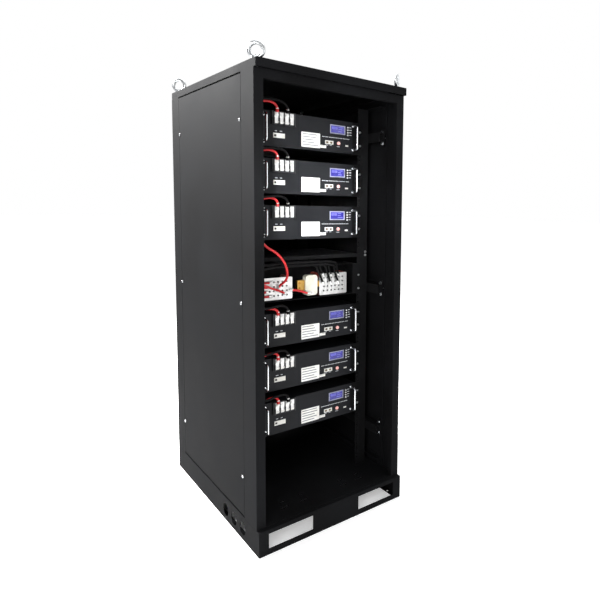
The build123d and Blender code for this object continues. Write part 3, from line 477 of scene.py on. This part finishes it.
legends = {
    "key_legends": {"x": 179.5, "z": 109, "proud": 0, "Rows": 4, "Row Pitch": 10.5, "Width": 12,
                    "Height": 3, "Depth": 0.16, "Narrowest": 0.7, "Seed": 5},
    "lamp_legends": {"x": 56, "z": 60, "proud": 0, "Columns": 8, "Column Pitch": 16.2, "Width": 11,
                     "Height": 2.4, "Depth": 0.16, "Narrowest": 0.75, "Seed": 9},
    "port_legends": {"x": -150, "z": 60, "proud": 0, "Columns": 2, "Column Pitch": 20, "Width": 11,
                     "Height": 2.6, "Depth": 0.16, "Narrowest": 0.7, "Seed": 2},
    "socket_legends": {"x": 68, "z": 27, "proud": 0, "Columns": 2, "Column Pitch": 19, "Width": 12,
                       "Height": 2, "Depth": 0.16, "Narrowest": 0.7, "Seed": 4},
    "button_legend": {"x": 120, "z": 25, "proud": 0, "Width": 14, "Height": 2, "Depth": 0.16},
}
statusLamps = {"x": 53, "z": 60, "proud": 0.3, "Columns": 8, "Column Pitch": 16.2, "Width": 3, "Height": 3,
               "Depth": 1.6}

for name, layout in legends.items():
    marks(name, extras["paleInk"], layout)
marks("status_lamps", coats["key_white"], statusLamps, form="round")
print("labels and printing made")

# Displays: a blue screen with charge bars and three lines of readings

screen = {"left": 92.4, "bottom": 80.4, "right": 155.6, "top": 108.6, "thick": 0.8, "sink": 1.1,
          "corner": 1}      # mm
chargeBars = {"x": 97, "z": 100, "proud": -0.3, "Columns": 8, "Column Pitch": 3.4, "Width": 2.3,
              "Height": 11, "Depth": 0.12}
readingLines = {"x": 127, "z": 104, "proud": -0.3, "Rows": 3, "Row Pitch": 8.4, "Width": 25, "Height": 2.6,
                "Depth": 0.12, "Narrowest": 0.5, "Seed": 6}

cards("display_screens", extras["screen"], screen)
marks("charge_bars", extras["displayInk"], chargeBars)
marks("reading_lines", extras["displayInk"], readingLines)
print("displays made")

# Sockets: dark liners with brass contacts, and covers in the two unused link ports

signalSockets = {"x": 69, "z": 38.3, "proud": -1.5, "Columns": 2, "Column Pitch": 19, "Width": 11,
                 "Height": 8.2, "Depth": 1}
signalContacts = {"x": 71, "z": 38.3, "proud": -0.6, "Columns": 2, "Column Pitch": 19, "Width": 7,
                  "Height": 1, "Depth": 2}
linkSocket = {"x": -153.6, "z": 42.8, "proud": -1.5, "Width": 9, "Height": 8.2, "Depth": 1}
linkCovers = {"x": -138.1, "z": 42.8, "proud": 1, "Columns": 2, "Column Pitch": 15.7, "Width": 9,
              "Height": 8.2, "Depth": 1.6}

marks("signal_sockets", extras["darkSocket"], signalSockets)
marks("signal_contacts", coats["brass"], signalContacts)
marks("link_socket", extras["darkSocket"], linkSocket)
marks("link_covers", coats["white_nylon"], linkCovers)

# Sleeves over the barrels of the lead lugs

sleeve = {"radius": 6.7, "taper": 1.3, "length": 17, "above": 136, "out": 17.3, "rounding": 0.8,
          "positive": -148.5, "negative": -106.5}      # mm; "above" is from the module's bottom


def lugSleeves(name, finish, x):
    shape = bmesh.new()
    for n in modules:
        middle = (x * mm, faceY - sleeve["out"] * mm, moduleBottom(n) + sleeve["above"] * mm)
        bmesh.ops.create_cone(shape, cap_ends=True, segments=24, radius1=sleeve["radius"] * mm,
                              radius2=(sleeve["radius"] - sleeve["taper"]) * mm,
                              depth=sleeve["length"] * mm, matrix=Matrix.Translation(middle))
    piece = meshPiece(name, shape)
    bpy.context.scene.collection.objects.link(piece)
    bevel = piece.modifiers.new("rounded ends", "BEVEL")
    bevel.width = sleeve["rounding"] * mm
    bevel.segments = 3
    bevel.limit_method = "ANGLE"
    finished = frozen(piece, name)
    for polygon in finished.data.polygons:
        polygon.use_smooth = True
    settle(finished, finish)


lugSleeves("positive_sleeves", coats["red_silicone"], sleeve["positive"])
lugSleeves("negative_sleeves", coats["black_silicone"], sleeve["negative"])
print("contacts and sleeves made")

# White strip across the foot of the terminal bars

barrierStrip = {"x": -157, "z": 92.5, "proud": 12.4, "Width": 78, "Height": 4.5, "Depth": 2.6}
marks("barrier_strips", coats["white_nylon"], barrierStrip)

# Hexagon bolts with washers that hold the depth bars to the posts

bolt = {"across": 13, "high": 5.5, "washer": 16, "washerHigh": 1.4, "apart": 48, "fromEnd": 13,
        "fromSide": 4, "bars": (268, 898, 1550)}      # mm; heights of the three pairs of bars


def barBolts():
    low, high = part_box("depth_bars")
    turned = Matrix.Rotation(math.pi / 2, 4, "Y")
    shape = bmesh.new()
    for side in (-1, 1):
        for y in (low[1] + bolt["fromEnd"] * mm, high[1] - bolt["fromEnd"] * mm):
            for bar in bolt["bars"]:
                for up in (-0.5, 0.5):
                    x = side * (high[0] - bolt["fromSide"] * mm)
                    centre = Vector((x, y, (bar + up * bolt["apart"]) * mm))
                    for sides, across, thick in ((6, bolt["across"], bolt["high"] + bolt["washerHigh"]),
                                                 (24, bolt["washer"], bolt["washerHigh"])):
                        place = Matrix.Translation(centre - Vector((side * thick / 2 * mm, 0, 0))) @ turned
                        bmesh.ops.create_cone(shape, cap_ends=True, segments=sides, radius1=across / 2 * mm,
                                              radius2=across / 2 * mm, depth=thick * mm, matrix=place)
    bmesh.ops.recalc_face_normals(shape, faces=shape.faces)
    settle(meshPiece("bar_bolts", shape), coats["zinc_plate"])


barBolts()
print("bolts made")


# Studio: white paper, soft lamps and a surround for the metal to mirror

studio = {"floor": "#f6f6f6", "dim": "#9c9c9e", "paper": "#ffffff", "halfFloor": 40, "floorGlow": 0.42,
          "shadeFrom": 0.14}      # m, glow, m behind the cabinet's front
lamps = {
    "overhead softbox": {"place": (0.6, 0.4, 4.4), "target": (0, 0, 0), "size": (3.2, 3.2), "power": 80},
    "key light": {"place": (-2.7, -2.9, 1.9), "target": (0.2, -0.35, 0.9), "size": (1.4, 1.8), "power": 62},
    "module light": {"place": (-1.3, -2.0, 1.5), "target": (0, -0.24, 1.28), "size": (0.3, 0.3),
                     "power": 1.2, "spread": 16},
    "side sheen": {"place": (-1.3, 2.1, 3.1), "target": (-0.315, 0, 1.8), "size": (1, 1), "power": 470},
    "right fill": {"place": (2.4, -2.6, 2.0), "target": (0.1, -0.3, 0.9), "size": (1.5, 2.0), "power": 18},
}      # metres, watts, degrees


# White paper that glows a little, apart from the patch shaded by the cabinet behind its front fork pockets.
def makeFloor():
    shape = bmesh.new()
    bmesh.ops.create_grid(shape, x_segments=1, y_segments=1, size=studio["halfFloor"])
    floor = meshPiece("studio_floor", shape)
    bpy.context.scene.collection.objects.link(floor)
    material, tree, shader, place = startMaterial("seamless paper", {
        "Base Color": srgb(studio["floor"]), "Emission Color": srgb(studio["floor"]), "Roughness": 0.8,
        "Specular IOR Level": 0.2})
    (left, front, bottom), (right, back, top) = cadBox
    shadeFront = front + studio["shadeFrom"]
    middle = ((left + right) / 2, (shadeFront + back) / 2, 0)
    offset = addNode(tree, "ShaderNodeVectorMath", {0: place, 1: middle}, operation="SUBTRACT").outputs[0]
    away = addNode(tree, "ShaderNodeVectorMath", {0: offset}, operation="ABSOLUTE").outputs[0]
    axes = addNode(tree, "ShaderNodeSeparateXYZ", {0: away}).outputs
    beside = addNode(tree, "ShaderNodeMath", {
        0: axes[0], 1: (right - left) / 2}, operation="GREATER_THAN").outputs[0]
    beyond = addNode(tree, "ShaderNodeMath", {0: axes[1], 1: (back - shadeFront) / 2},
                     operation="GREATER_THAN").outputs[0]
    clear = addNode(tree, "ShaderNodeMath", {0: beside, 1: beyond}, operation="MAXIMUM").outputs[0]
    glow = addNode(tree, "ShaderNodeMath", {
        0: clear, 1: studio["floorGlow"]}, operation="MULTIPLY").outputs[0]
    tree.links.new(glow, shader.inputs["Emission Strength"])
    floor.data.materials.append(material)


def softLight(name, settings):
    lamp = bpy.data.lights.new(name, "AREA")
    lamp.shape = "RECTANGLE"
    lamp.size, lamp.size_y = settings["size"]
    lamp.energy = settings["power"]
    lamp.spread = math.radians(settings.get("spread", 180))
    holder = bpy.data.objects.new(name, lamp)
    holder.location = settings["place"]
    aim = Vector(settings["target"]) - Vector(settings["place"])
    holder.rotation_euler = aim.to_track_quat("-Z", "Y").to_euler()
    bpy.context.scene.collection.objects.link(holder)


# The metal mirrors white behind it and a dimmer room on the left. Seen directly, the surround is all white.
def makeSurround():
    world = bpy.data.worlds.new("studio surround")
    bpy.context.scene.world = world
    world.use_nodes = True
    tree = world.node_tree
    tree.nodes.clear()
    way = addNode(tree, "ShaderNodeTexCoord").outputs["Generated"]
    behind = addNode(tree, "ShaderNodeVectorMath", {0: way, 1: (0.97, 0.25, 0.05)},
                     operation="DOT_PRODUCT").outputs["Value"]
    share = addNode(tree, "ShaderNodeMapRange", {
        "Value": behind, "From Min": -0.35, "From Max": 0.25}).outputs[0]
    colour = addNode(tree, "ShaderNodeMix", {
        "Factor": share, "A": srgb(studio["dim"]), "B": srgb(studio["paper"])},
        data_type="RGBA").outputs["Result"]
    mirrored = addNode(tree, "ShaderNodeBackground", {"Color": colour}).outputs[0]
    paper = addNode(tree, "ShaderNodeBackground", {"Color": srgb(studio["paper"])}).outputs[0]
    seen = addNode(tree, "ShaderNodeLightPath").outputs["Is Camera Ray"]
    both = addNode(tree, "ShaderNodeMixShader", {0: seen, 1: mirrored, 2: paper}).outputs[0]
    addNode(tree, "ShaderNodeOutputWorld", {"Surface": both})


makeFloor()
for name, settings in lamps.items():
    softLight(name, settings)
makeSurround()
bpy.context.scene.view_settings.view_transform = "Standard"

camera = {"place": (-1.0645, -2.1925, 1.2683), "turn": (84.857, -1.429, -42.991), "lens": 31.90,
          "sensor": 36, "shift": (-0.2466, -0.0777), "clip": (0.05, 100)}      # metres, degrees, mm, mm
lens = bpy.data.cameras.new("camera")
lens.lens = camera["lens"]
lens.sensor_width = camera["sensor"]
lens.shift_x, lens.shift_y = camera["shift"]
lens.clip_start, lens.clip_end = camera["clip"]
viewer = bpy.data.objects.new("camera", lens)
viewer.location = camera["place"]
viewer.rotation_euler = Euler([math.radians(angle) for angle in camera["turn"]], "XYZ")
bpy.context.scene.collection.objects.link(viewer)
bpy.context.scene.camera = viewer
print("studio made")
